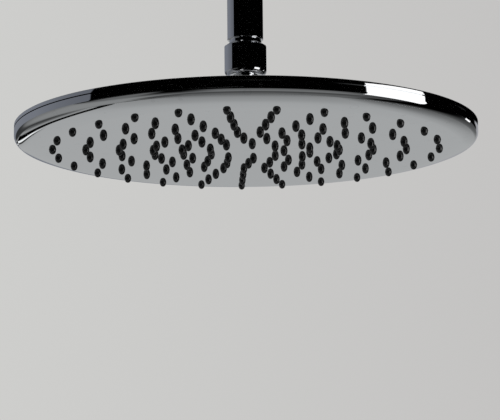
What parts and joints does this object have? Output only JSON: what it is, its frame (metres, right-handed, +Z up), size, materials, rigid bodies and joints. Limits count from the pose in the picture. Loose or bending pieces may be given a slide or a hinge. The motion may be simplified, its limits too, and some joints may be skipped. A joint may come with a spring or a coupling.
{
  "type": "overhead rain shower with ceiling arm",
  "caption": "Round overhead rain shower hung from a straight ceiling arm: mirror face with tapered rubber nozzles in rings, shallow domed back, ball joint, union nut and sliding ceiling rose.",
  "frame": {"origin": "on the arm's axis in the ceiling plane, where the rose meets the ceiling", "axes": "+Z up along the arm into the ceiling; the spray face looks along -Z; -Y faces the camera of the picture"},
  "size_m": [0.3, 0.3, 0.2126],
  "materials": {
    "chrome_shell": "mirror chrome plate",
    "chrome_fittings": "mirror chrome plate",
    "brass": "turned brass",
    "steel": "stainless steel",
    "black_silicone": "matt black silicone",
    "black_rubber": "black rubber",
    "white_plastic": "natural white bearing plastic",
    "black_plastic": "black moulded plastic"
  },
  "bodies": {
    "arm": {"arm_tube": "chrome_fittings", "upper_nipple": "brass", "lower_nipple": "chrome_fittings", "union_nut": "chrome_fittings", "ball_tail": "chrome_fittings", "flow_regulator": "white_plastic", "filter_washer": "black_rubber", "filter_screen": "steel"},
    "rose": {"ceiling_rose": "chrome_fittings", "rose_grip_ring": "black_rubber"},
    "seat": {"ball_seat": "black_rubber"},
    "slip": {"slip_ring": "white_plastic"},
    "head": {"inlet_neck": "brass", "neck_washer": "black_rubber", "lock_washer": "white_plastic", "lock_nut": "chrome_fittings", "ball_cap": "chrome_fittings", "top_shell": "chrome_shell", "face_plate": "chrome_shell", "nozzle_mat": "black_silicone", "back_plate": "black_plastic", "clamp_screws": "steel"}
  },
  "joints": [
    {"name": "rose_slide", "type": "slide", "parent": "arm", "child": "rose", "axis": [0, 0, -1], "range_m": [0, 0.1]},
    {"name": "head_tilt_x", "type": "hinge", "parent": "arm", "child": "seat", "pos_m": [0, 0, -0.1575], "axis": [1, 0, 0], "range_deg": [-15, 15]},
    {"name": "head_tilt_y", "type": "hinge", "parent": "seat", "child": "slip", "pos_m": [0, 0, -0.1575], "axis": [0, 1, 0], "range_deg": [-15, 15]},
    {"name": "head_spin", "type": "hinge", "parent": "slip", "child": "head", "pos_m": [0, 0, -0.1575], "axis": [0, 0, 1], "continuous": true}
  ]
}
